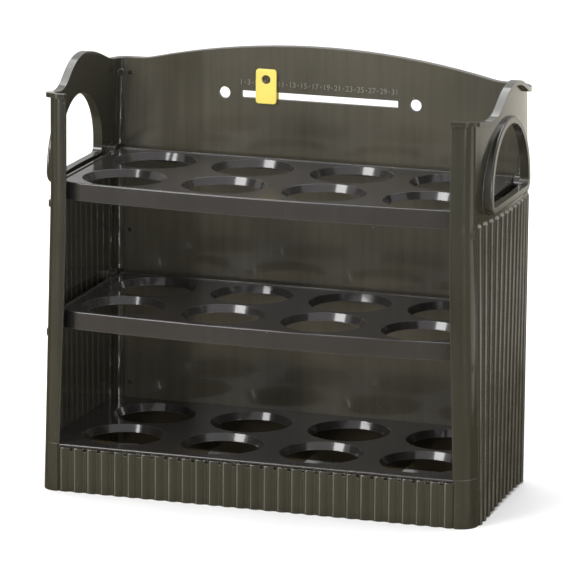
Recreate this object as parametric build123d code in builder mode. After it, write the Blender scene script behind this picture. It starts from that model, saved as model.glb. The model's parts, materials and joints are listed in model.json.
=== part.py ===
from build123d import *
import os
from math import copysign, sqrt

# Three-tier flip rack for hen eggs, in millimetres. +Z is up, the open front faces -Y,
# and the origin is on the standing surface, at the middle of the rack.

# Body envelope: half widths at the front corner, mid depth and back corner
base_width = 209.2
depth = 96.0
wall = 1.6
front_corner_radius = 8.0
back_corner_radius = 6.0
front_tuck = 3.4        # how far each front post leans in by the top of the reeds
back_tuck = 1.8         # how much narrower the back is than the front, each side
handle_bulge = 0.4      # how far mid depth stands out past the base, at handle height
crown_tuck = 0.9        # how far mid depth comes back in at the crown of the ear
base_waist = 0.6        # how far mid depth stands in from the front corner, at the base
back_lean = 0.2         # how far the back corners lean in by the top of the reeds
crown_lean = 1.85       # how far they lean in at the crown
reed_top = 139.3
envelope_top = 205.0
foot_arch = (-30.0, 46.0, 1.9)      # front end, back end and height of the side panels' raised foot
cut_margin = 1.0        # how far a cutting shape reaches past what it cuts
floor_margin = 10.0     # how far the regions below a top edge reach under the floor

# Plinth and bottom deck
lip_height = 21.2
post_seam = 22.8        # where the posts stand on the plinth's corners
plinth_gap = 0.15       # between the plinth's skirt and the panels outside it
corner_flat = 1.5       # flat side of the plinth's corner, behind its curve
lip_overlap = 1.0       # how far the reeded lip runs in front of each post's inner edge
skirt_wall = 1.8
cross_rib = 1.6
cross_rib_lift = 4.0
bottom_deck_thickness = 1.5
deck_edge = 0.7         # rounding of the deck's front edge
deck_side_gap = 0.1
deck_front_set = 0.7    # how far the deck's front edge stands back from the lip's face

# Reeds
lip_reed_pitch = 6.4
lip_reed_width = 5.2
lip_reed_proud = 1.0
side_reed_pitch = 6.84
side_reed_width = 4.4
side_reed_proud = 1.2
reed_sink = 0.5
reed_cap = 1.4          # height of the side reeds' sloped tops
reed_cap_proud = 0.3
lip_reed_round = 0.4

# Front opening between the posts
post_width = 9.7
opening_flare_height = 120.0

# Handle openings
handle_radius = 29.5
handle_center = 149.0
handle_floor = 145.0
handle_corner = 3.0
rim_width = 3.4
rim_proud_low = 3.0
rim_proud_high = 1.6
rim_round = 0.9

# Top edges and their flared lip
post_top = 187.9
ear_crown = (8.0, 8.8)  # the ear's highest point: depth, and height above the post
ear_front = ((-50.0, 0.0), (-36.0, -1.9), (-26.0, -3.0), (-18.5, -1.5), (-11.5, 2.7), (-4.0, 6.6))
ear_back = ((20.0, 7.0), (30.0, 3.6), (40.0, 0.4), (50.0, 0.3))
hump_top = 198.7
hump_radius = 361.0
shoulder_top = 188.3
shoulder_blend = 24.0
lip_flare = 2.1
lip_thickness = 2.2

# Flip trays: deck heights, pivots and rests
deck_heights = {"middle": 84.9, "top": 145.6}
tray_side_gap = 0.7
tray_front_center = -47.4
tray_front_bow = 6.0
tray_corner = 11.0
tray_back = 43.4
deck_thickness = 1.8
deck_drop = 0.5         # the deck lies this far below the rim's top edge
rim_height = 8.4
rim_wall = 1.6
rim_edge = 0.6
back_rim_height = 5.6
pivot_y = 39.5
pivot_drop = 3.9
stud_radius = 3.0
stud_clearance = 0.05
stud_length = 3.5
boss_radius = 6.0
boss_gap = 0.5
pivot_relief = 1.5      # how much narrower the tray is beside its pivots
pivot_relief_length = 13.5
rest_gap = 0.3
rest_depth = 9.0
rest_height = 3.2
rest_reach = 3.4
rest_back = -35.0

# Egg seats
egg_cell_x = 47.0
egg_cell_y = 42.0
seat_radius = 19.5
seat_drop = 3.6
seat_taper = 1.5
seat_collar = 1.1
cell_margin_x = 2.5
cell_margin_y = 2.0
row_shift = 1.6         # the bowed front leaves the seats' middle a little behind the tray's

# Back panel features
slot_length = 76.6
slot_height = 3.3
slot_z = 174.5
hang_spacing = 93.8
hang_radius = 2.75
hang_z = 174.6
slot_corner = 0.5
lap_width = 5.0
lap_inset = 6.0         # from the back corner's outer face to the inside seam
lap_gap = 0.1
snap_radius = 1.2
snap_heights = (30.0, 105.0, 181.0)

# Date slider
tag_width = 10.2
tag_top = 187.2
tag_bottom = 170.6
tag_thickness = 1.2
tag_gap = 0.3
tag_hole_radius = 2.1
tag_hole_z = 182.2
tag_corner = 1.6
tag_round = 0.35
tag_x = -26.0
stem_width = 6.0
stem_clearance = 0.12
clip_height = 7.0
clip_thickness = 1.2

# Snap bumps that hold the plinth in the side panels
bump_length = 14.0
bump_height = 3.0
bump_proud = 0.8
bump_z = 12.0
bump_clearance = 0.1

# Round catch in each back corner, which the top tray's edge passes as it stands up
catch_radius = 1.6
catch_proud = 0.7
catch_z = 181.0

# Values that follow from the sizes above
half = base_width / 2
levels = (0.0, reed_top, envelope_top)
front_half = (half, half - front_tuck, half - front_tuck)
middle_half = (half - base_waist, half + handle_bulge, half - crown_tuck)
back_half = (half - back_tuck, half - back_tuck - back_lean, half - back_tuck - crown_lean)
inner_top = half - front_tuck - wall
tray_half = inner_top - tray_side_gap
pivot_half = tray_half - pivot_relief
back_face = depth / 2 - wall
panel_seam = back_half[0] - lap_inset
seam_y = depth / 2 - wall / 2
snap_x = panel_seam - lap_width / 2
skirt_inset = wall + plinth_gap
plinth_corner_back = -depth / 2 + front_corner_radius + corner_flat
lip_half = front_half[0] - post_width + lip_overlap
lip_reed_count = int(2 * lip_half // lip_reed_pitch)
lip_reed_step = 2 * lip_half / lip_reed_count
tall = 2 * envelope_top


def side_arc(level, inset):
    """Centre and radius of the right side wall's plan arc at one level."""
    front_end = (front_half[level] - inset, -depth / 2 + front_corner_radius)
    middle = (middle_half[level] - inset, 0)
    back_end = (back_half[level] - inset, depth / 2 - back_corner_radius)
    arc = ThreePointArc(front_end, middle, back_end, mode=Mode.PRIVATE)
    return front_end, middle, back_end, arc.arc_center, arc.radius


def plan_section(level, inset):
    """Closed plan outline of the rack at one level, moved in from the outer face."""
    front_end, middle, back_end, _, _ = side_arc(level, inset)
    face = depth / 2 - inset
    front_r = front_corner_radius - inset
    back_r = back_corner_radius - inset
    near = 1 - sqrt(0.5)
    front_mid = (front_end[0] - front_r * near, -face + front_r * near)
    back_mid = (back_end[0] - back_r * near, face - back_r * near)
    front_in = (front_end[0] - front_r, -face)
    back_in = (back_end[0] - back_r, face)

    def mirrored(point):
        return (-point[0], point[1])

    with BuildSketch(Plane.XY.offset(levels[level])) as section:
        with BuildLine():
            Line(mirrored(front_in), front_in)
            ThreePointArc(front_in, front_mid, front_end)
            ThreePointArc(front_end, middle, back_end)
            ThreePointArc(back_end, back_mid, back_in)
            Line(back_in, mirrored(back_in))
            ThreePointArc(mirrored(back_in), mirrored(back_mid), mirrored(back_end))
            ThreePointArc(mirrored(back_end), mirrored(middle), mirrored(front_end))
            ThreePointArc(mirrored(front_end), mirrored(front_mid), mirrored(front_in))
        make_face()
    return section.sketch


def envelope(inset):
    """The rack's outer form, moved in by inset, from the floor to above the crown."""
    with BuildPart() as form:
        loft([plan_section(level, inset) for level in range(3)], ruled=True)
    return form.part


def side_x(y, level):
    """Half width of the side wall's outer face at depth y."""
    _, _, _, center, radius = side_arc(level, 0.0)
    reach = sqrt(radius ** 2 - (y - center.Y) ** 2)
    return center.X + copysign(reach, middle_half[level] - center.X)


def wall_x(y, z):
    """Half width of the side wall's outer face at depth y and height z."""
    lower, upper = (0, 1) if z <= reed_top else (1, 2)
    share = (z - levels[lower]) / (levels[upper] - levels[lower])
    return side_x(y, lower) * (1 - share) + side_x(y, upper) * share


def ear_region(drop):
    """Everything below the side panels' top edge, lowered by drop, as one solid."""
    run = depth
    post = post_top - drop
    with BuildPart() as region:
        with BuildSketch(Plane.YZ.offset(-base_width)):
            with BuildLine():
                Spline(
                    (-run, post),
                    *[(y, post + rise) for y, rise in (*ear_front, ear_crown, *ear_back)],
                    (run, shoulder_top - drop),
                    tangents=[(1, 0), (1, 0)],
                )
                Polyline(
                    (run, shoulder_top - drop), (run, -floor_margin), (-run, -floor_margin), (-run, post)
                )
            make_face()
        extrude(amount=2 * base_width)
    return region.part


def hump_region(drop):
    """Everything below the back panel's top edge, lowered by drop, as one solid."""
    run = base_width
    shoulder = shoulder_top - drop
    center = hump_top - hump_radius - drop
    reach = sqrt(hump_radius ** 2 - (shoulder - center) ** 2)
    with BuildPart() as region:
        with BuildSketch(Plane.XZ.offset(-depth)):
            with BuildLine():
                Line((-run, shoulder), (-reach, shoulder))
                ThreePointArc((-reach, shoulder), (0, hump_top - drop), (reach, shoulder))
                Line((reach, shoulder), (run, shoulder))
                Polyline((run, shoulder), (run, -floor_margin), (-run, -floor_margin), (-run, shoulder))
            make_face()
        extrude(amount=depth)
        shoulders = region.edges().filter_by(Axis.Y).filter_by(
            lambda edge: abs(abs(edge.center().X) - reach) < 0.01
        )
        fillet(shoulders, radius=shoulder_blend)
    return region.part


def shell_below(region):
    """The rack's wall all the way round, below a top edge, with that edge's flared lip."""
    with BuildPart() as shell:
        add(envelope(-lip_flare))
        add(region(lip_thickness), mode=Mode.SUBTRACT)
        add(outer_form)
        add(region(0), mode=Mode.INTERSECT)
        add(inner_form, mode=Mode.SUBTRACT)
    return shell.part


def front_opening():
    """The open front between the two posts."""
    foot = front_half[0] - post_width
    head = front_half[1] - post_width
    with BuildPart() as opening:
        with BuildSketch(Plane.XZ.offset(depth / 2 - front_corner_radius)):
            with BuildLine():
                Polyline(
                    (-foot, post_seam - cut_margin), (foot, post_seam - cut_margin),
                    (head, opening_flare_height),
                    (head, envelope_top), (-head, envelope_top),
                    (-head, opening_flare_height),
                    close=True,
                )
            make_face()
        extrude(amount=depth)
    return opening.part


def handle_outline(grow):
    """Arched handle opening in the side view, grown by grow all round."""
    radius = handle_radius + grow
    floor = handle_floor - grow
    with BuildSketch(Plane.YZ) as outline:
        with BuildLine():
            Line((-radius, floor), (radius, floor))
            Line((radius, floor), (radius, handle_center))
            ThreePointArc((radius, handle_center), (0, handle_center + radius), (-radius, handle_center))
            Line((-radius, handle_center), (-radius, floor))
        make_face()
        lower = outline.vertices().group_by(Axis.Z)[0]
        fillet(lower, radius=handle_corner + grow)
    return outline.sketch


def handle_rim():
    """Raised rim around the right handle opening, leaning in towards its crown."""
    low_x = wall_x(handle_radius, handle_floor) + rim_proud_low
    high_x = wall_x(0, handle_center + handle_radius) + rim_proud_high
    bottom = handle_floor - rim_width - cut_margin
    crown = handle_center + handle_radius + rim_width + cut_margin
    start = inner_top - rim_proud_low - rim_width
    with BuildPart() as rim:
        with BuildSketch(Plane.XZ):
            with BuildLine():
                Polyline((start, bottom), (low_x, bottom), (high_x, crown), (start, crown), close=True)
            make_face()
        extrude(amount=depth / 2, both=True)
        add(extrude(handle_outline(rim_width), amount=base_width, mode=Mode.PRIVATE), mode=Mode.INTERSECT)
        outer = rim.faces().sort_by(Axis.X)[-1]
        fillet(outer.edges(), radius=rim_round)
        add(envelope(wall), mode=Mode.SUBTRACT)
        add(extrude(handle_outline(0), amount=base_width, mode=Mode.PRIVATE), mode=Mode.SUBTRACT)
    return rim.part


def side_reed(y):
    """One half-round reed on the right side wall, from the floor to its sloped top."""
    stations = ((0, side_reed_proud), (reed_top - reed_cap, side_reed_proud), (reed_top, reed_cap_proud))
    with BuildPart() as reed:
        for height, proud in stations:
            with BuildSketch(Plane.XY.offset(height)):
                face_x = wall_x(y, height)
                with BuildLine():
                    Polyline(
                        (face_x, y - side_reed_width / 2), (face_x - reed_sink, y - side_reed_width / 2),
                        (face_x - reed_sink, y + side_reed_width / 2), (face_x, y + side_reed_width / 2),
                    )
                    ThreePointArc(
                        (face_x, y + side_reed_width / 2), (face_x + proud, y),
                        (face_x, y - side_reed_width / 2),
                    )
                make_face()
        loft(ruled=True)
    return reed.part


def arch_under_side():
    """The shallow arch cut from under both side panels."""
    front_end, back_end, height = foot_arch
    with BuildPart() as arch:
        with BuildSketch(Plane.YZ):
            with BuildLine():
                ThreePointArc((front_end, 0), ((front_end + back_end) / 2, height), (back_end, 0))
                Polyline(
                    (back_end, 0), (back_end, -floor_margin), (front_end, -floor_margin), (front_end, 0)
                )
            make_face()
        extrude(amount=base_width)
    return arch.part


def seat_grid():
    """Columns, rows and pitches of the egg seats that fit the tray."""
    columns = int((2 * tray_half) // egg_cell_x)
    rows = int((tray_back - tray_front_center - cell_margin_y) // egg_cell_y)
    pitch_x = (2 * tray_half - 2 * cell_margin_x) / columns
    return columns, rows, pitch_x


def seat_places():
    """Centres of the egg seats, in columns across and rows front to back."""
    columns, rows, pitch_x = seat_grid()
    middle_y = (tray_front_center + tray_back) / 2 + row_shift
    grid = GridLocations(pitch_x, egg_cell_y, columns, rows).locations
    return [(place.position.X, place.position.Y + middle_y) for place in grid]


def tray_plan(height, inset):
    """Plan of a flip tray at one height: bowed front, round corners, narrower at its pivots."""
    corner_y = tray_front_center + tray_front_bow
    relief_y = tray_back - pivot_relief_length
    with BuildSketch(Plane.XY.offset(height)) as plan:
        with BuildLine():
            ThreePointArc((-tray_half, corner_y), (0, tray_front_center), (tray_half, corner_y))
            Polyline(
                (tray_half, corner_y), (tray_half, relief_y), (pivot_half, relief_y),
                (pivot_half, tray_back), (-pivot_half, tray_back),
                (-pivot_half, relief_y), (-tray_half, relief_y), (-tray_half, corner_y),
            )
        make_face()
        fillet(plan.vertices().sort_by(Axis.Y)[:2], radius=tray_corner)
        if inset:
            offset(amount=-inset, kind=Kind.INTERSECTION, mode=Mode.REPLACE)
    return plan.sketch


def flip_tray(rim_top):
    """One flip tray: rim, sunk deck with egg seats, and a pivot stud at each side."""
    deck_top = rim_top - deck_drop
    underside = deck_top - deck_thickness
    rim_bottom = rim_top - rim_height
    pivot_z = rim_top - pivot_drop
    with BuildPart() as tray:
        extrude(tray_plan(rim_bottom, 0), amount=rim_height)
        top_edges = tray.faces().sort_by(Axis.Z)[-1].edges().sort_by(Axis.Y)
        fillet(top_edges[:5], radius=rim_edge)
        extrude(tray_plan(rim_bottom, rim_wall), amount=underside - rim_bottom, mode=Mode.SUBTRACT)
        extrude(tray_plan(deck_top, rim_wall), amount=2 * deck_drop, mode=Mode.SUBTRACT)
        with Locations((0, tray_back, rim_bottom)):
            Box(
                4 * tray_half, 2 * (rim_wall + cut_margin), 2 * (rim_height - back_rim_height),
                mode=Mode.SUBTRACT,
            )
        seats = [(x, y, deck_top) for x, y in seat_places()]
        top_align = (Align.CENTER, Align.CENTER, Align.MAX)
        with Locations(seats):
            Cone(
                seat_radius - seat_taper + seat_collar, seat_radius + seat_collar, seat_drop,
                align=top_align,
            )
        with Locations(seats):
            Cone(seat_radius - seat_taper, seat_radius, seat_drop, align=top_align, mode=Mode.SUBTRACT)
        for side in (1, -1):
            root = Plane(origin=(side * (pivot_half - rim_wall), pivot_y, pivot_z), z_dir=(side, 0, 0))
            with BuildSketch(root):
                Circle(stud_radius)
            extrude(amount=rim_wall + stud_length)
    return tray.part


def side_panel():
    """Right side panel: post, reeded wall, handle opening, flared lip, pivot sockets and rests."""
    first_reed = plinth_corner_back + side_reed_width / 2
    reeded = depth - front_corner_radius - back_corner_radius - side_reed_width
    reed_count = 1 + int(reeded // side_reed_pitch)
    boss_x = pivot_half + boss_gap
    rest_x = tray_half - rest_reach + tray_side_gap
    pocket_x = wall_x(0, bump_z) - wall
    inside_corner = (back_corner_radius - wall) * sqrt(0.5)
    corner_x = wall_x(depth / 2 - back_corner_radius, catch_z) - back_corner_radius + inside_corner
    corner_y = depth / 2 - back_corner_radius + inside_corner
    root = wall / 2 * sqrt(0.5)
    with BuildPart() as panel:
        add(shell_below(ear_region))
        add(front_opening(), mode=Mode.SUBTRACT)
        with Locations((0, 0, 0)):
            Box(base_width, 2 * depth, tall, align=(Align.MAX, Align.CENTER, Align.CENTER),
                mode=Mode.SUBTRACT)
        with Locations((0, seam_y, 0)):
            Box(2 * panel_seam, seam_y, tall, align=in_front, mode=Mode.SUBTRACT)
            Box(2 * (panel_seam - lap_width), depth, tall, align=behind, mode=Mode.SUBTRACT)
        with Locations((0, plinth_corner_back, 0)):
            Box(2 * base_width, depth, 2 * post_seam, align=in_front, mode=Mode.SUBTRACT)
        for number in range(reed_count):
            add(side_reed(first_reed + number * side_reed_pitch))
        add(handle_rim())
        add(extrude(handle_outline(0), amount=base_width, mode=Mode.PRIVATE), mode=Mode.SUBTRACT)
        for deck_height in deck_heights.values():
            pivot_z = deck_height - pivot_drop
            rest_top = deck_height - rim_height - rest_gap
            with BuildSketch(Plane(origin=(boss_x, pivot_y, pivot_z), z_dir=(1, 0, 0))):
                Circle(boss_radius)
            extrude(amount=wall_x(pivot_y, pivot_z) - wall / 2 - boss_x)
            with BuildSketch(Plane(origin=(boss_x, pivot_y, pivot_z), z_dir=(1, 0, 0))):
                Circle(stud_radius + stud_clearance)
            extrude(amount=pivot_half + stud_length + rest_gap - boss_x, mode=Mode.SUBTRACT)
            with Locations((rest_x, rest_back, rest_top)):
                Box(wall_x(rest_back, rest_top) - wall / 2 - rest_x, rest_depth, rest_height,
                    align=(Align.MIN, Align.MAX, Align.MAX))
        for snap_z in snap_heights:
            with BuildSketch(Plane(origin=(snap_x, seam_y, snap_z), z_dir=(0, -1, 0))):
                Circle(snap_radius)
            extrude(amount=wall / 2)
        with Locations((pocket_x, 0, bump_z)):
            Box(2 * (bump_proud + bump_clearance), bump_length + 2 * bump_clearance,
                bump_height + 2 * bump_clearance, mode=Mode.SUBTRACT)
        add(arch_under_side(), mode=Mode.SUBTRACT)
        with BuildSketch(Plane(origin=(corner_x + root, corner_y + root, catch_z), z_dir=(-1, -1, 0))):
            Circle(catch_radius)
        extrude(amount=wall / 2 + catch_proud)
    return panel.part


def lip_reed():
    """One half-round reed of the plinth's lip, standing on the floor at the middle."""
    face_y = -depth / 2 + lip_reed_proud
    with BuildPart() as reed:
        with BuildSketch():
            with BuildLine():
                Polyline(
                    (-lip_reed_width / 2, face_y), (-lip_reed_width / 2, face_y + reed_sink),
                    (lip_reed_width / 2, face_y + reed_sink), (lip_reed_width / 2, face_y),
                )
                ThreePointArc((lip_reed_width / 2, face_y), (0, -depth / 2), (-lip_reed_width / 2, face_y))
            make_face()
        extrude(amount=lip_height)
        fillet(reed.edges().filter_by(GeomType.CIRCLE).sort_by(Axis.Z)[-1], radius=lip_reed_round)
    return reed.part


def deck_room():
    """The space inside the panels, from the plinth's top edge upwards."""
    with BuildPart() as room:
        add(inner_form)
        with Locations((0, 0, lip_height)):
            Box(2 * base_width, 2 * depth, tall, align=below, mode=Mode.SUBTRACT)
    return room.part


def export_piece(part, name):
    """Label one finished piece and write it to its own file."""
    part.label = name
    export_step(part, f"parts/{name}.step")


above = (Align.CENTER, Align.CENTER, Align.MIN)
below = (Align.CENTER, Align.CENTER, Align.MAX)
behind = (Align.CENTER, Align.MIN, Align.CENTER)
in_front = (Align.CENTER, Align.MAX, Align.CENTER)
outer_form = envelope(0)
inner_form = envelope(wall)
skirt_form = envelope(skirt_inset)
os.makedirs("parts", exist_ok=True)

# Plinth: a hollow skirt with full corners under the posts, a reeded lip between them,
# cross ribs under the deck, and a bump at each side that snaps into the side panel
with BuildPart() as plinth:
    add(outer_form)
    with Locations((0, plinth_corner_back, 0)):
        Box(2 * base_width, 2 * depth, tall, align=behind, mode=Mode.SUBTRACT)
    add(skirt_form)
    with Locations((0, 0, post_seam)):
        Box(2 * base_width, 2 * depth, tall, align=above, mode=Mode.SUBTRACT)
    add(deck_room(), mode=Mode.SUBTRACT)
    with Locations((0, plinth_corner_back, lip_height)):
        Box(2 * (front_half[0] - post_width), depth, 2 * (post_seam - lip_height),
            align=in_front, mode=Mode.SUBTRACT)
    add(envelope(skirt_inset + skirt_wall), mode=Mode.SUBTRACT)
    with Locations((0, -depth / 2, 0)):
        Box(2 * lip_half, 2 * lip_reed_proud, tall, mode=Mode.SUBTRACT)
    with GridLocations(lip_reed_step, 1, lip_reed_count, 1):
        add(lip_reed())
    rib_count = seat_grid()[0] - 1
    with Locations((0, 0, lip_height)):
        with GridLocations(seat_grid()[2], 1, rib_count, 1):
            Box(cross_rib, depth - 2 * skirt_inset - skirt_wall, lip_height - cross_rib_lift, align=below)
    for side in (1, -1):
        with Locations((side * (wall_x(0, bump_z) - skirt_inset), 0, bump_z)):
            Box(2 * bump_proud, bump_length, bump_height)
export_piece(plinth.part, "plinth")

# Bottom deck: drops into the plinth's mouth, with the same egg seats as the flip trays
with BuildPart() as bottom_deck:
    add(envelope(skirt_inset + deck_side_gap))
    with Locations((0, 0, lip_height + bottom_deck_thickness)):
        Box(2 * base_width, 2 * depth, tall, align=above, mode=Mode.SUBTRACT)
    with Locations((0, 0, lip_height)):
        Box(2 * base_width, 2 * depth, tall, align=below, mode=Mode.SUBTRACT)
    with Locations((0, deck_front_set - depth / 2, lip_height)):
        Box(2 * (front_half[0] - post_width - deck_side_gap), front_corner_radius, bottom_deck_thickness,
            align=(Align.CENTER, Align.MIN, Align.MIN))
    front_edges = bottom_deck.edges().filter_by(Axis.X).sort_by(Axis.Y)[:2]
    fillet(front_edges, radius=deck_edge)
    seats = [(x, y, lip_height + bottom_deck_thickness) for x, y in seat_places()]
    with Locations(seats):
        Cone(seat_radius - seat_taper + seat_collar, seat_radius + seat_collar, seat_drop, align=below)
    with Locations(seats):
        Cone(seat_radius - seat_taper, seat_radius, seat_drop, align=below, mode=Mode.SUBTRACT)
export_piece(bottom_deck.part, "bottom_deck")

# Side panels: a mirrored pair
right_side = side_panel()
with BuildPart() as left_side:
    mirror(right_side, about=Plane.YZ)
export_piece(right_side, "right_side_panel")
export_piece(left_side.part, "left_side_panel")

# Back panel: between the side panels' half laps, with the date slot and two hanging holes
with BuildPart() as back_panel:
    add(shell_below(hump_region))
    with Locations((0, 0, 0)):
        Box(2 * base_width, depth, tall, align=in_front, mode=Mode.SUBTRACT)
    for side in (1, -1):
        beyond = (Align.MIN if side > 0 else Align.MAX, Align.CENTER, Align.CENTER)
        with Locations((side * (panel_seam - lap_gap), 0, 0)):
            Box(base_width, 4 * depth, tall, align=beyond, mode=Mode.SUBTRACT)
        beyond_lap = (beyond[0], Align.MIN, Align.CENTER)
        with Locations((side * (panel_seam - lap_width - lap_gap), seam_y, 0)):
            Box(base_width, depth, tall, align=beyond_lap, mode=Mode.SUBTRACT)
    with BuildSketch(Plane.XZ.offset(-depth)):
        with Locations((0, slot_z)):
            RectangleRounded(slot_length, slot_height, slot_corner)
        with Locations((-hang_spacing / 2, hang_z), (hang_spacing / 2, hang_z)):
            Circle(hang_radius)
        with Locations([(side * snap_x, snap_z) for side in (1, -1) for snap_z in snap_heights]):
            Circle(snap_radius + lap_gap)
    extrude(amount=depth, mode=Mode.SUBTRACT)
export_piece(back_panel.part, "back_panel")

# Flip trays
for name, height in deck_heights.items():
    export_piece(flip_tray(height), f"{name}_tray")

# Date slider: a tag in front of the back panel, its stem in the slot and a clip behind
tag_back = back_face - tag_gap
clip_front = depth / 2 + tag_gap
tag_middle = (tag_top + tag_bottom) / 2
with BuildPart() as date_slider:
    with BuildSketch(Plane.XZ.offset(-tag_back)):
        with Locations((tag_x, tag_middle)):
            RectangleRounded(tag_width, tag_top - tag_bottom, tag_corner)
        with Locations((tag_x, tag_hole_z)):
            Circle(tag_hole_radius, mode=Mode.SUBTRACT)
    extrude(amount=tag_thickness)
    with BuildSketch(Plane.XZ.offset(-clip_front)):
        with Locations((tag_x, slot_z)):
            RectangleRounded(tag_width, clip_height, tag_corner)
    extrude(amount=-clip_thickness)
    with BuildSketch(Plane.XZ.offset(-clip_front)):
        with Locations((tag_x, slot_z)):
            Rectangle(stem_width, slot_height - 2 * stem_clearance)
    extrude(amount=clip_front - tag_back)
    tag_front = date_slider.faces().sort_by(Axis.Y)[0]
    fillet(tag_front.edges(), radius=tag_round)
export_piece(date_slider.part, "date_slider")
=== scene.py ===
"""Finishes, date scale and studio stage for a three-tier flip rack for hen eggs."""

import json
import math

import bpy
from mathutils import Matrix, Vector


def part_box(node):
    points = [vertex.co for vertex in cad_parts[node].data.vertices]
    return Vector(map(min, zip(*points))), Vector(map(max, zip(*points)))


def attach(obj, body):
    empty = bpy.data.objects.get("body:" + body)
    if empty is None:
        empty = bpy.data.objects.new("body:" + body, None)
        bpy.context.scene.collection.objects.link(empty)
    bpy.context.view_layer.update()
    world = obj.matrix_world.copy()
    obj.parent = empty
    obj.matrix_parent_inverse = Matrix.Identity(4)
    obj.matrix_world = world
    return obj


bl_info = {
    "name": "Flip Egg Rack",
    "version": (1, 0, 0),
    "blender": (4, 5, 0),
    "location": "3D View > Sidebar > Egg Rack",
    "description": "Finishes, raised date scale and studio stage for a three-tier flip egg rack",
    "category": "Object",
}

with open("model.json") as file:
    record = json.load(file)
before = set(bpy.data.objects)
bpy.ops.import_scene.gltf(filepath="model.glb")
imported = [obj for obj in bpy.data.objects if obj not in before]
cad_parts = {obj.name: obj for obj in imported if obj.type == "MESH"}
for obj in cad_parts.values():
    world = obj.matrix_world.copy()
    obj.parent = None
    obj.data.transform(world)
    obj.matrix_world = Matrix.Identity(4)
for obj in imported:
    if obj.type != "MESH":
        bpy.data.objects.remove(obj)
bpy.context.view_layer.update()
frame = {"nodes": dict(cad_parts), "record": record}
MM = 0.001
SHELL_NODES = ("plinth", "left_side_panel", "right_side_panel")
TRAY_NODES = ("bottom_deck", "middle_tray", "top_tray")
LIP_REED_STEP = 2 * 95.9 / 29 * MM
LIP_FACE = (-45.8 * MM, -46.1 * MM)
LIP_ENDS = (96.1 * MM, 95.8 * MM)
LIP_HIGHLIGHT_SHIFT = -1.40 * MM
LIP_TOP = 22.8 * MM
SIDE_REED_PITCH = 6.84 * MM
FIRST_SIDE_REED = (-38.5 + 2.2) * MM
LAST_SIDE_REED = FIRST_SIDE_REED + 11 * SIDE_REED_PITCH
SIDE_FACE = (97.5 * MM, 98.0 * MM)
SIDE_HIGHLIGHT_SHIFT = -1.0 * MM
SIDE_REED_TOP = 138.5 * MM
# Tone added to the colour for painted highlights on edges and reed crests.
HIGHLIGHT_LIFT = (0.18, 0.178, 0.16)
SCALE_SHIFT = -0.45 * MM
SLIDER_STANDOFF = (1.2 + 0.3) * MM
POLISH = 0.6
POLISH_ROUGHNESS = 0.06
# Glow tones that only glossy rays see on the floor, painting reflections into the plastic.
FLOOR_GLOSS_GLOW = (
    (-1.0, (0.38, 0.37, 0.31)), (-0.60, (0.36, 0.35, 0.28)), (-0.50, (0.20, 0.19, 0.15)),
    (-0.28, (0.42, 0.36, 0.25)), (-0.06, (0.42, 0.36, 0.25)), (-0.04, (0.12, 0.095, 0.06)),
    (0.64, (0.12, 0.095, 0.06)),
    (0.72, (0.85, 0.80, 0.70)), (1.0, (0.85, 0.80, 0.70)))
BESIDE_GLOW = (0.95, 0.90, 0.80)


class RackFinishSettings(bpy.types.PropertyGroup):
    """Colours and gloss of the moulded plastics"""

    shell_color: bpy.props.FloatVectorProperty(
        name="Shell colour", description="Base colour of the rack's panels and plinth",
        subtype="COLOR", size=3, min=0.0, max=1.0, default=(0.021, 0.0200, 0.0135))
    # The back panel is the shell's plastic; its paler base colour is painted light.
    back_color: bpy.props.FloatVectorProperty(
        name="Back colour", description="Base colour of the back panel, a little paler",
        subtype="COLOR", size=3, min=0.0, max=1.0, default=(0.060, 0.054, 0.040))
    tray_color: bpy.props.FloatVectorProperty(
        name="Tray colour", description="Base colour of the bottom deck and the flip trays",
        subtype="COLOR", size=3, min=0.0, max=1.0, default=(0.022, 0.0195, 0.019))
    slider_color: bpy.props.FloatVectorProperty(
        name="Slider colour", description="Base colour of the date slider",
        subtype="COLOR", size=3, min=0.0, max=1.0, default=(0.78, 0.62, 0.12))
    # The numerals are the back panel's plastic; their lighter colour is a painted highlight on the raised
    # faces.
    numeral_color: bpy.props.FloatVectorProperty(
        name="Numeral colour", description="Colour of the raised date scale's faces",
        subtype="COLOR", size=3, min=0.0, max=1.0, default=(0.17, 0.165, 0.145))
    shell_roughness: bpy.props.FloatProperty(
        name="Shell roughness", description="Roughness of the polished mould faces",
        subtype="FACTOR", min=0.0, max=1.0, default=0.18)
    edge_radius: bpy.props.FloatProperty(
        name="Edge radius", description="How far the moulded edges are softened",
        subtype="DISTANCE", unit="LENGTH", min=0.0, max=0.003, default=0.0005)


class DateScaleSettings(bpy.types.PropertyGroup):
    """Sizes of the raised date scale above the slider's slot"""

    last_day: bpy.props.IntProperty(
        name="Last day", description="The scale counts odd days up to this one", min=1, max=31, default=31)
    character_pitch: bpy.props.FloatProperty(
        name="Character pitch", description="Distance from one character to the next",
        subtype="DISTANCE", unit="LENGTH", default=1.86 * MM)
    character_height: bpy.props.FloatProperty(
        name="Character height", description="Height of a numeral",
        subtype="DISTANCE", unit="LENGTH", default=2.6 * MM)
    relief: bpy.props.FloatProperty(
        name="Relief", description="How far the characters stand out of the back panel",
        subtype="DISTANCE", unit="LENGTH", default=0.18 * MM)
    dot_radius: bpy.props.FloatProperty(
        name="Dot radius", description="Radius of the dots between the numerals",
        subtype="DISTANCE", unit="LENGTH", default=0.34 * MM)
    rise: bpy.props.FloatProperty(
        name="Rise", description="Height of the characters' middle above the slot's middle",
        subtype="DISTANCE", unit="LENGTH", default=5.6 * MM)


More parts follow.
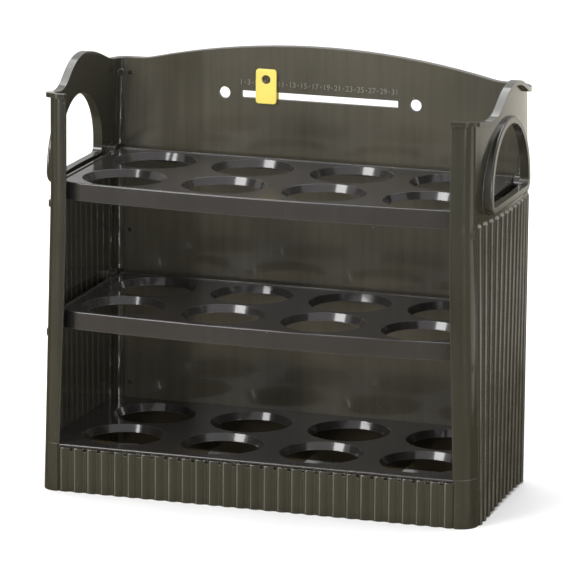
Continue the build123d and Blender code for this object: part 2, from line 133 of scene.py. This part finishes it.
class StudioSettings(bpy.types.PropertyGroup):
    """Camera, floor and lights"""

    azimuth: bpy.props.FloatProperty(
        name="Azimuth", description="Camera's turn to the right of the rack's front",
        subtype="ANGLE", unit="ROTATION", default=0.3140)
    elevation: bpy.props.FloatProperty(
        name="Elevation", description="Camera's height above the horizon",
        subtype="ANGLE", unit="ROTATION", default=0.2279)
    roll: bpy.props.FloatProperty(
        name="Roll", description="Camera's tilt about its own axis",
        subtype="ANGLE", unit="ROTATION", default=0.0085)
    distance: bpy.props.FloatProperty(
        name="Distance", description="From the camera to the point it looks at",
        subtype="DISTANCE", unit="LENGTH", default=2.3137)
    target_height: bpy.props.FloatProperty(
        name="Target height", description="Height of the point the camera looks at",
        subtype="DISTANCE", unit="LENGTH", default=0.09392)
    lens: bpy.props.FloatProperty(
        name="Lens", description="Focal length of the camera",
        subtype="DISTANCE_CAMERA", unit="CAMERA", default=312.5)
    floor_color: bpy.props.FloatVectorProperty(
        name="Floor colour", description="Colour of the plain floor",
        subtype="COLOR", size=3, min=0.0, max=1.0, default=(0.93, 0.93, 0.93))


def node_group(name, inputs, outputs):
    """An empty shader node group with named sockets, and its two end nodes."""
    group = bpy.data.node_groups.new(name, "ShaderNodeTree")
    for label, kind, value in inputs:
        socket = group.interface.new_socket(label, in_out="INPUT", socket_type=kind)
        if value is not None:
            socket.default_value = value
    for label, kind in outputs:
        group.interface.new_socket(label, in_out="OUTPUT", socket_type=kind)
    return group, group.nodes.new("NodeGroupInput"), group.nodes.new("NodeGroupOutput")


def add_node(tree, kind, **values):
    """A node with its properties and unlinked sockets set."""
    node = tree.nodes.new(kind)
    for key, value in values.items():
        if hasattr(node, key):
            setattr(node, key, value)
        else:
            node.inputs[key.replace("_", " ").title() if key.islower() else key].default_value = value
    return node


def noise(tree, vector, scale, detail=2.0, roughness=0.5):
    node = add_node(tree, "ShaderNodeTexNoise")
    node.inputs["Scale"].default_value = scale
    node.inputs["Detail"].default_value = detail
    node.inputs["Roughness"].default_value = roughness
    tree.links.new(vector, node.inputs["Vector"])
    return node.outputs["Fac"]


def ranged(tree, value, low, high, to_low, to_high):
    node = add_node(tree, "ShaderNodeMapRange")
    for key, number in (("From Min", low), ("From Max", high), ("To Min", to_low), ("To Max", to_high)):
        node.inputs[key].default_value = number
    tree.links.new(value, node.inputs["Value"])
    return node.outputs["Result"]


def math_node(tree, operation, first, second):
    node = add_node(tree, "ShaderNodeMath", operation=operation)
    for socket, value in zip(node.inputs, (first, second)):
        if isinstance(value, (int, float)):
            socket.default_value = value
        else:
            tree.links.new(value, socket)
    return node.outputs[0]


def build_moulded_surface():
    """Moulding marks of polished plastic: cloudy colour, drawn flow streaks, fine grain and dust."""
    group, start, end = node_group(
        "moulded_surface",
        [("Vector", "NodeSocketVector", None), ("Color", "NodeSocketColor", None),
         ("Roughness", "NodeSocketFloat", 0.2), ("Streaks", "NodeSocketFloat", 0.5),
         ("Dust", "NodeSocketFloat", 0.3)],
        [("Color", "NodeSocketColor"), ("Roughness", "NodeSocketFloat"), ("Height", "NodeSocketFloat")])
    vector = start.outputs["Vector"]
    clouds = noise(group, vector, 24.0, 3.0)
    stretch = add_node(group, "ShaderNodeMapping")
    stretch.inputs["Scale"].default_value = (1.0, 1.0, 0.04)
    group.links.new(vector, stretch.inputs["Vector"])
    streaks = noise(group, stretch.outputs["Vector"], 260.0, 3.0, 0.6)
    smudges = noise(group, vector, 55.0, 4.0, 0.6)
    grain = noise(group, vector, 2600.0, 2.0)
    waves = noise(group, vector, 38.0, 1.0)
    cloud_gain = ranged(group, clouds, 0.3, 0.7, 0.88, 1.12)
    streak_gain = ranged(group, streaks, 0.3, 0.7, -0.22, 0.22)
    streak_gain = math_node(group, "MULTIPLY", streak_gain, start.outputs["Streaks"])
    gain = math_node(group, "ADD", cloud_gain, streak_gain)
    tint = add_node(group, "ShaderNodeMix", data_type="RGBA", blend_type="MULTIPLY")
    tint.inputs["Factor"].default_value = 1.0
    group.links.new(start.outputs["Color"], tint.inputs[6])
    group.links.new(gain, tint.inputs[7])
    specks = add_node(group, "ShaderNodeTexVoronoi")
    specks.inputs["Scale"].default_value = 150.0
    group.links.new(vector, specks.inputs["Vector"])
    speck_mask = ranged(group, specks.outputs["Distance"], 0.035, 0.05, 1.0, 0.0)
    speck_mask = math_node(group, "MULTIPLY", speck_mask, ranged(group, smudges, 0.56, 0.62, 0.0, 1.0))
    speck_mask = math_node(group, "MULTIPLY", speck_mask, start.outputs["Dust"])
    dusted = add_node(group, "ShaderNodeMix", data_type="RGBA")
    dusted.inputs[7].default_value = (0.62, 0.6, 0.55, 1.0)
    group.links.new(speck_mask, dusted.inputs["Factor"])
    group.links.new(tint.outputs[2], dusted.inputs[6])
    group.links.new(dusted.outputs[2], end.inputs["Color"])
    rough_gain = ranged(group, smudges, 0.2, 0.8, -0.05, 0.08)
    smudged = math_node(group, "ADD", start.outputs["Roughness"], rough_gain)
    group.links.new(smudged, end.inputs["Roughness"])
    height = math_node(group, "ADD", waves, math_node(group, "MULTIPLY", grain, 0.03))
    height = math_node(group, "ADD", height, math_node(group, "MULTIPLY", streaks, 0.05))
    group.links.new(height, end.inputs["Height"])
    return group


def build_edge_wear():
    """A mask that is one on softened edges and nought on flat faces, used to paint highlights along the
    edges.
    """
    group, start, end = node_group(
        "edge_highlight", [("Radius", "NodeSocketFloat", 0.0006), ("Amount", "NodeSocketFloat", 1.0)],
        [("Mask", "NodeSocketFloat")])
    rounded = add_node(group, "ShaderNodeBevel", samples=4)
    group.links.new(start.outputs["Radius"], rounded.inputs["Radius"])
    flat = add_node(group, "ShaderNodeNewGeometry")
    facing = add_node(group, "ShaderNodeVectorMath", operation="DOT_PRODUCT")
    group.links.new(rounded.outputs["Normal"], facing.inputs[0])
    group.links.new(flat.outputs["Normal"], facing.inputs[1])
    mask = ranged(group, facing.outputs["Value"], 0.8, 0.98, 1.0, 0.0)
    group.links.new(math_node(group, "MULTIPLY", mask, start.outputs["Amount"]), end.inputs["Mask"])
    return group


def step_mask(tree, value, low, high):
    """One above high and nought below low, or the other way round when low is the larger."""
    if low < high:
        return ranged(tree, value, low, high, 0.0, 1.0)
    return ranged(tree, value, high, low, 1.0, 0.0)


def build_polished_reeds():
    """A mask of the painted highlight line along each reed of the lip and of the side walls, with a
    painted glint at each reed's top.
    """
    group, start, end = node_group(
        "reed_highlights", [("Vector", "NodeSocketVector", None), ("Amount", "NodeSocketFloat", 1.0)],
        [("Mask", "NodeSocketFloat")])
    split = add_node(group, "ShaderNodeSeparateXYZ")
    group.links.new(start.outputs["Vector"], split.inputs["Vector"])
    x, y, z = (split.outputs[axis] for axis in "XYZ")
    masks = []
    outer_x = math_node(group, "ABSOLUTE", x, 0.0)
    lip_limits = ((y, *LIP_FACE), (outer_x, *LIP_ENDS), (z, LIP_TOP + 0.3 * MM, LIP_TOP + 0.1 * MM))
    side_limits = (
        (outer_x, *SIDE_FACE), (z, SIDE_REED_TOP + 0.8 * MM, SIDE_REED_TOP + 0.6 * MM),
        (y, FIRST_SIDE_REED - 2.2 * MM, FIRST_SIDE_REED - 2.0 * MM),
        (y, LAST_SIDE_REED + 2.2 * MM, LAST_SIDE_REED + 2.0 * MM))
    for value, shift, pitch, thin, wide, top, limits in (
            (x, LIP_HIGHLIGHT_SHIFT, LIP_REED_STEP, 0.15, 0.42, LIP_TOP, lip_limits),
            (y, FIRST_SIDE_REED + SIDE_HIGHLIGHT_SHIFT, SIDE_REED_PITCH, 0.25, 0.7, SIDE_REED_TOP,
             side_limits)):
        # Painted highlight line along each reed's crest, and a painted glint at each reed's top.
        away = math_node(group, "PINGPONG", math_node(group, "SUBTRACT", value, shift), pitch / 2)
        mask = ranged(group, away, thin * MM, wide * MM, 0.85, 0.0)
        tip_glint = ranged(group, away, 1.2 * MM, 1.6 * MM, 2.0, 0.0)
        tip_glint = math_node(group, "MULTIPLY", tip_glint, step_mask(group, z, top - 0.9 * MM, top - 0.5 * MM))
        mask = math_node(group, "MAXIMUM", mask, tip_glint)
        for limit, low, high in limits:
            mask = math_node(group, "MULTIPLY", mask, step_mask(group, limit, low, high))
        masks.append(mask)
    both = math_node(group, "MAXIMUM", *masks)
    patchy = ranged(group, noise(group, start.outputs["Vector"], 90.0, 3.0), 0.3, 0.7, 0.5, 1.0)
    both = math_node(group, "MULTIPLY", both, patchy)
    group.links.new(math_node(group, "MULTIPLY", both, start.outputs["Amount"]), end.inputs["Mask"])
    return group


def plastic(name, color, roughness, streaks, dust, edge_radius, edge_highlight_gain=0.35, reed_highlight_gain=0.0):
    """Glossy injection-moulded plastic with softened edges, its colour lightened along edges and reed
    crests as painted highlights.
    """
    material = bpy.data.materials.new(name)
    material.use_nodes = True
    tree = material.node_tree
    shader = tree.nodes["Principled BSDF"]
    place = add_node(tree, "ShaderNodeTexCoord")
    surface = add_node(tree, "ShaderNodeGroup", node_tree=bpy.data.node_groups["moulded_surface"])
    tree.links.new(place.outputs["Object"], surface.inputs["Vector"])
    surface.inputs["Color"].default_value = (*color, 1.0)
    surface.inputs["Roughness"].default_value = roughness
    surface.inputs["Streaks"].default_value = streaks
    surface.inputs["Dust"].default_value = dust
    edge_highlighter = add_node(tree, "ShaderNodeGroup", node_tree=bpy.data.node_groups["edge_highlight"])
    edge_highlighter.inputs["Radius"].default_value = edge_radius
    edge_highlighter.inputs["Amount"].default_value = edge_highlight_gain
    # Painted highlights: the colour is lifted by a fixed tone along edges and reed crests.
    highlighted = add_node(tree, "ShaderNodeMix", data_type="RGBA")
    highlight_color = (min(1.0, channel + lift) for channel, lift in zip(color, HIGHLIGHT_LIFT))
    highlighted.inputs[7].default_value = (*highlight_color, 1.0)
    highlight_mask = edge_highlighter.outputs["Mask"]
    if reed_highlight_gain:
        reed_highlighter = add_node(tree, "ShaderNodeGroup", node_tree=bpy.data.node_groups["reed_highlights"])
        tree.links.new(place.outputs["Object"], reed_highlighter.inputs["Vector"])
        reed_highlighter.inputs["Amount"].default_value = reed_highlight_gain
        highlight_mask = math_node(tree, "MAXIMUM", highlight_mask, reed_highlighter.outputs["Mask"])
    tree.links.new(highlight_mask, highlighted.inputs["Factor"])
    tree.links.new(surface.outputs["Color"], highlighted.inputs[6])
    tree.links.new(highlighted.outputs[2], shader.inputs["Base Color"])
    tree.links.new(surface.outputs["Roughness"], shader.inputs["Roughness"])
    soft_edge = add_node(tree, "ShaderNodeBevel", samples=6)
    soft_edge.inputs["Radius"].default_value = edge_radius
    bump = add_node(tree, "ShaderNodeBump")
    bump.inputs["Strength"].default_value = 0.25
    bump.inputs["Distance"].default_value = 0.0006
    tree.links.new(surface.outputs["Height"], bump.inputs["Height"])
    tree.links.new(soft_edge.outputs["Normal"], bump.inputs["Normal"])
    tree.links.new(bump.outputs["Normal"], shader.inputs["Normal"])
    shader.inputs["IOR"].default_value = 1.49
    shader.inputs["Coat Weight"].default_value = POLISH
    shader.inputs["Coat Roughness"].default_value = POLISH_ROUGHNESS
    return material


def dress(node, material):
    """Put one material on a CAD node, in place of what it came with."""
    slots = frame["nodes"][node].data.materials
    slots.clear()
    slots.append(material)


def start_fresh():
    """Leave edit mode and deselect everything, so that an operator acts on new work alone."""
    if bpy.context.object and bpy.context.object.mode != "OBJECT":
        bpy.ops.object.mode_set(mode="OBJECT")
    bpy.ops.object.select_all(action="DESELECT")


class EGGRACK_OT_shared_effects(bpy.types.Operator):
    """Build the node groups that the plastics share"""

    bl_idname = "eggrack.shared_effects"
    bl_label = "Build Shared Effects"

    def execute(self, context):
        build_moulded_surface()
        build_edge_wear()
        build_polished_reeds()
        return {"FINISHED"}


class EGGRACK_OT_finish_shell(bpy.types.Operator):
    """Give the plinth, the side panels and the back panel their olive grey plastic"""

    bl_idname = "eggrack.finish_shell"
    bl_label = "Finish Shell"

    def execute(self, context):
        finish = context.scene.rack_finish
        # The shell's reeds get painted highlight lines along their crests and painted glints at their
        # tops.
        shell = plastic("shell_plastic", finish.shell_color, finish.shell_roughness, 0.8, 0.4,
                        finish.edge_radius, reed_highlight_gain=0.5)
        for node in SHELL_NODES:
            dress(node, shell)
        # The back panel gets a paler copy of the shell plastic: painted light.
        dress("back_panel", plastic("back_panel_lit_plastic", finish.back_color, finish.shell_roughness,
                                    0.6, 0.4, finish.edge_radius))
        return {"FINISHED"}


class EGGRACK_OT_finish_trays(bpy.types.Operator):
    """Give the bottom deck and the flip trays their plastic"""

    bl_idname = "eggrack.finish_trays"
    bl_label = "Finish Trays"

    def execute(self, context):
        finish = context.scene.rack_finish
        tray = plastic("tray_plastic", finish.tray_color, finish.shell_roughness, 0.3, 0.2,
                       finish.edge_radius)
        for node in TRAY_NODES:
            dress(node, tray)
        return {"FINISHED"}


class EGGRACK_OT_finish_slider(bpy.types.Operator):
    """Give the date slider its yellow plastic"""

    bl_idname = "eggrack.finish_slider"
    bl_label = "Finish Date Slider"

    def execute(self, context):
        finish = context.scene.rack_finish
        # The slider's edges get a stronger painted highlight.
        dress("date_slider", plastic("slider_plastic", finish.slider_color, 0.38, 0.1, 0.1,
                                     finish.edge_radius, 0.5))
        return {"FINISHED"}


class EGGRACK_OT_date_scale(bpy.types.Operator):
    """Raise the odd days of a month and the dots between them above the slider's slot"""

    bl_idname = "eggrack.date_scale"
    bl_label = "Raise Date Scale"

    def execute(self, context):
        scale = context.scene.date_scale
        finish = context.scene.rack_finish
        text = "*".join(str(day) for day in range(1, scale.last_day + 1, 2))
        holes = next(m for m in frame["record"]["mounts"] if m["name"] == "hanging_holes")
        slot_z = holes["pos_m"][2]
        face_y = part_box("date_slider")[0].y + SLIDER_STANDOFF
        z = slot_z - 0.1 * MM + scale.rise
        first_x = -(len(text) - 1) / 2 * scale.character_pitch + SCALE_SHIFT
        start_fresh()
        made = []
        for place, character in enumerate(text):
            x = first_x + place * scale.character_pitch
            if character == "*":
                bpy.ops.mesh.primitive_cylinder_add(
                    vertices=12, radius=scale.dot_radius, depth=2 * scale.relief,
                    location=(x, face_y, z), rotation=(math.pi / 2, 0.0, 0.0))
                dot = context.object
                bpy.ops.object.mode_set(mode="EDIT")
                bpy.ops.mesh.select_all(action="SELECT")
                bpy.ops.mesh.bevel(offset=0.08 * MM, segments=1, affect="EDGES")
                bpy.ops.object.mode_set(mode="OBJECT")
                made.append(dot)
                continue
            bpy.ops.object.text_add(location=(x, face_y, z), rotation=(math.pi / 2, 0.0, 0.0))
            numeral = context.object
            numeral.data.body = character
            numeral.data.align_x = "CENTER"
            numeral.data.align_y = "CENTER"
            numeral.data.size = scale.character_height / 0.7
            numeral.data.resolution_u = 4
            numeral.data.extrude = scale.relief
            bpy.ops.object.convert(target="MESH")
            made.append(context.object)
        for piece in made:
            piece.select_set(True)
        context.view_layer.objects.active = made[0]
        bpy.ops.object.join()
        numerals = context.object
        numerals.name = "date_scale_numerals"
        bpy.ops.object.transform_apply(location=True, rotation=True, scale=True)
        numerals.data.materials.clear()
        # Painted highlight: the numerals get a lighter copy of the back panel's plastic.
        numerals.data.materials.append(
            plastic("numeral_lit_plastic", finish.numeral_color, 0.35, 0.2, 0.2, 0.05 * MM, 0.0))
        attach(numerals, "rack")
        return {"FINISHED"}


def soft_light(name, place, aim, width, height, power, color=(1.0, 1.0, 1.0)):
    """A rectangular soft box at place, turned towards aim."""
    data = bpy.data.lights.new(name, "AREA")
    data.shape = "RECTANGLE"
    data.size, data.size_y = width, height
    data.energy = power
    data.color = color
    light = bpy.data.objects.new(name, data)
    bpy.context.scene.collection.objects.link(light)
    light.location = place
    light.rotation_mode = "QUATERNION"
    light.rotation_quaternion = (Vector(aim) - Vector(place)).to_track_quat("-Z", "Y")
    return light


def studio_world(camera_color, glossy_low, glossy_high):
    """Plain white to the camera, and a soft dim room to everything else."""
    world = bpy.data.worlds.new("studio_room")
    bpy.context.scene.world = world
    world.use_nodes = True
    tree = world.node_tree
    background = tree.nodes["Background"]
    rays = add_node(tree, "ShaderNodeLightPath")
    place = add_node(tree, "ShaderNodeTexCoord")
    split = add_node(tree, "ShaderNodeSeparateXYZ")
    tree.links.new(place.outputs["Generated"], split.inputs["Vector"])
    ramp = add_node(tree, "ShaderNodeValToRGB")
    ramp.color_ramp.elements[0].position = 0.35
    ramp.color_ramp.elements[0].color = (*glossy_low, 1.0)
    ramp.color_ramp.elements[1].position = 0.75
    ramp.color_ramp.elements[1].color = (*glossy_high, 1.0)
    height = ranged(tree, split.outputs["Z"], -1.0, 1.0, 0.0, 1.0)
    tree.links.new(height, ramp.inputs["Fac"])
    mix = add_node(tree, "ShaderNodeMix", data_type="RGBA")
    mix.inputs[7].default_value = (*camera_color, 1.0)
    tree.links.new(rays.outputs["Is Camera Ray"], mix.inputs["Factor"])
    tree.links.new(ramp.outputs["Color"], mix.inputs[6])
    tree.links.new(mix.outputs[2], background.inputs["Color"])


def mirror_table_in_gloss(tree, shader, vector):
    """A glow on the floor that only glossy rays see, painting reflections into the plastic: bands of tone
    from front to back and a bright patch beside the rack.
    """
    split = add_node(tree, "ShaderNodeSeparateXYZ")
    tree.links.new(vector, split.inputs["Vector"])
    ramp = add_node(tree, "ShaderNodeValToRGB")
    stops = ramp.color_ramp.elements
    for stop, (place, tone) in zip(stops, (FLOOR_GLOSS_GLOW[0], FLOOR_GLOSS_GLOW[-1])):
        stop.position, stop.color = (place + 1.0) / 2.0, (*tone, 1.0)
    for place, tone in FLOOR_GLOSS_GLOW[1:-1]:
        stops.new((place + 1.0) / 2.0).color = (*tone, 1.0)
    tree.links.new(ranged(tree, split.outputs["Y"], -1.0, 1.0, 0.0, 1.0), ramp.inputs["Fac"])
    beside = step_mask(tree, split.outputs["X"], 0.30, 0.36)
    for low, high in ((-0.06, 0.06), (0.40, 0.30)):
        beside = math_node(tree, "MULTIPLY", beside, step_mask(tree, split.outputs["Y"], low, high))
    lit = add_node(tree, "ShaderNodeMix", data_type="RGBA")
    lit.inputs[7].default_value = (*BESIDE_GLOW, 1.0)
    tree.links.new(beside, lit.inputs["Factor"])
    tree.links.new(ramp.outputs["Color"], lit.inputs[6])
    glow = add_node(tree, "ShaderNodeEmission")
    tree.links.new(lit.outputs[2], glow.inputs["Color"])
    rays = add_node(tree, "ShaderNodeLightPath")
    mix = add_node(tree, "ShaderNodeMixShader")
    tree.links.new(rays.outputs["Is Glossy Ray"], mix.inputs[0])
    tree.links.new(shader.outputs[0], mix.inputs[1])
    tree.links.new(glow.outputs[0], mix.inputs[2])
    tree.links.new(mix.outputs[0], tree.nodes["Material Output"].inputs["Surface"])


class EGGRACK_OT_stage(bpy.types.Operator):
    """Add the plain floor, which glows for glossy rays only to paint reflections, the soft studio lights
    and the camera
    """

    bl_idname = "eggrack.stage"
    bl_label = "Set Stage"

    def execute(self, context):
        studio = context.scene.egg_studio
        start_fresh()
        bpy.ops.mesh.primitive_grid_add(x_subdivisions=8, y_subdivisions=8, size=12.0)
        floor = context.object
        floor.name = "studio_floor"
        material = bpy.data.materials.new("studio_floor_paper")
        material.use_nodes = True
        tree = material.node_tree
        shader = tree.nodes["Principled BSDF"]
        place = add_node(tree, "ShaderNodeTexCoord")
        mottle = ranged(tree, noise(tree, place.outputs["Object"], 3.0), 0.3, 0.7, 0.99, 1.0)
        tint = add_node(tree, "ShaderNodeMix", data_type="RGBA", blend_type="MULTIPLY")
        tint.inputs["Factor"].default_value = 1.0
        tint.inputs[6].default_value = (*studio.floor_color, 1.0)
        tree.links.new(mottle, tint.inputs[7])
        tree.links.new(tint.outputs[2], shader.inputs["Base Color"])
        shader.inputs["Roughness"].default_value = 0.95
        shader.inputs["Specular IOR Level"].default_value = 0.0
        # Painted reflections: the floor glows for glossy rays only.
        mirror_table_in_gloss(tree, shader, place.outputs["Object"])
        floor.data.materials.append(material)
        studio_world((1.0, 1.0, 1.0), (0.10, 0.085, 0.06), (0.8, 0.8, 0.8))
        aim = (0.0, 0.0, 0.1)
        soft_light("key_softbox", (-0.95, -1.35, 1.15), aim, 1.0, 0.9, 25.0)
        soft_light("left_strip", (-0.95, -0.95, 0.22), aim, 0.10, 0.40, 6.0)
        soft_light("right_strip", (1.05, -0.80, 0.25), aim, 0.08, 0.45, 5.0)
        soft_light("overhead_softbox", (0.1, 0.6, 1.6), aim, 1.8, 1.2, 20.0)
        back = Vector((math.sin(studio.azimuth) * math.cos(studio.elevation),
                       -math.cos(studio.azimuth) * math.cos(studio.elevation),
                       math.sin(studio.elevation)))
        level = Vector((math.cos(studio.azimuth), math.sin(studio.azimuth), 0.0))
        rise = back.cross(level)
        across = level * math.cos(studio.roll) + rise * math.sin(studio.roll)
        up = rise * math.cos(studio.roll) - level * math.sin(studio.roll)
        target = Vector((0.0003, 0.0, studio.target_height))
        data = bpy.data.cameras.new("studio_camera")
        data.lens = studio.lens
        data.sensor_width = 36.0
        data.clip_start, data.clip_end = 0.1, 50.0
        camera = bpy.data.objects.new("studio_camera", data)
        context.scene.collection.objects.link(camera)
        turn = Matrix((across, up, back)).transposed().to_4x4()
        camera.matrix_world = Matrix.Translation(target + back * studio.distance) @ turn
        context.scene.camera = camera
        context.scene.view_settings.view_transform = "Standard"
        context.scene.view_settings.look = "None"
        return {"FINISHED"}


class EGGRACK_PT_panel(bpy.types.Panel):
    """Steps and sizes of the flip egg rack"""

    bl_idname = "EGGRACK_PT_panel"
    bl_label = "Flip Egg Rack"
    bl_space_type = "VIEW_3D"
    bl_region_type = "UI"
    bl_category = "Egg Rack"

    def draw(self, context):
        layout = self.layout
        for operator in OPERATORS:
            layout.operator(operator.bl_idname)
        for settings in (context.scene.rack_finish, context.scene.date_scale, context.scene.egg_studio):
            column = layout.column(align=True)
            for name in settings.__annotations__:
                column.prop(settings, name)


SETTINGS = {
    "rack_finish": RackFinishSettings, "date_scale": DateScaleSettings, "egg_studio": StudioSettings}
OPERATORS = (
    EGGRACK_OT_shared_effects, EGGRACK_OT_finish_shell, EGGRACK_OT_finish_trays,
    EGGRACK_OT_finish_slider, EGGRACK_OT_date_scale, EGGRACK_OT_stage)


def register():
    for name, settings in SETTINGS.items():
        bpy.utils.register_class(settings)
        setattr(bpy.types.Scene, name, bpy.props.PointerProperty(type=settings))
    for operator in (*OPERATORS, EGGRACK_PT_panel):
        bpy.utils.register_class(operator)


def unregister():
    for operator in reversed((*OPERATORS, EGGRACK_PT_panel)):
        bpy.utils.unregister_class(operator)
    for name, settings in reversed(SETTINGS.items()):
        delattr(bpy.types.Scene, name)
        bpy.utils.unregister_class(settings)


def main():
    register()
    for operator in OPERATORS:
        group, name = operator.bl_idname.split(".")
        if getattr(getattr(bpy.ops, group), name)() != {"FINISHED"}:
            raise RuntimeError(f"{operator.bl_label} didn't finish")


if __name__ == "__main__":
    main()
